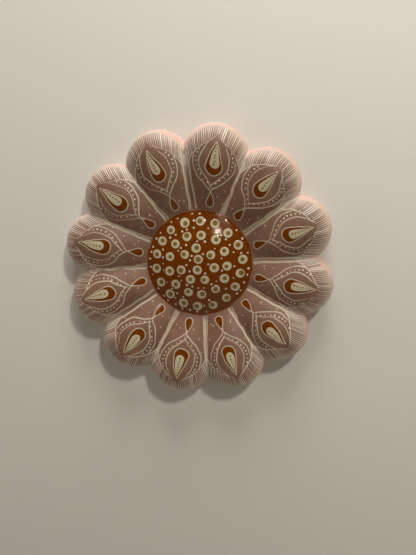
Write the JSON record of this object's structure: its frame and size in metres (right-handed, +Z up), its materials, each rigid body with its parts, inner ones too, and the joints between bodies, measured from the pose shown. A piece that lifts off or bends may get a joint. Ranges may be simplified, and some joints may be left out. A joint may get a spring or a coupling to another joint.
{
  "type": "wall flower ornament",
  "caption": "Puffed clay flower with a low dotted dome, open at the back, with a clay strap that hangs it on a wall hook.",
  "frame": {"origin": "middle of the back face of the hanging strap, on the wall plane", "axes": "+Z up as it hangs, +Y into the wall, so the flower faces -Y, and +X to the right seen from the front"},
  "size_m": [0.247, 0.032, 0.2476],
  "materials": {
    "painted_clay": "hand-painted earthenware under a clear gloss varnish"
  },
  "bodies": {
    "root": {"flower": "painted_clay"}
  },
  "joints": []
}
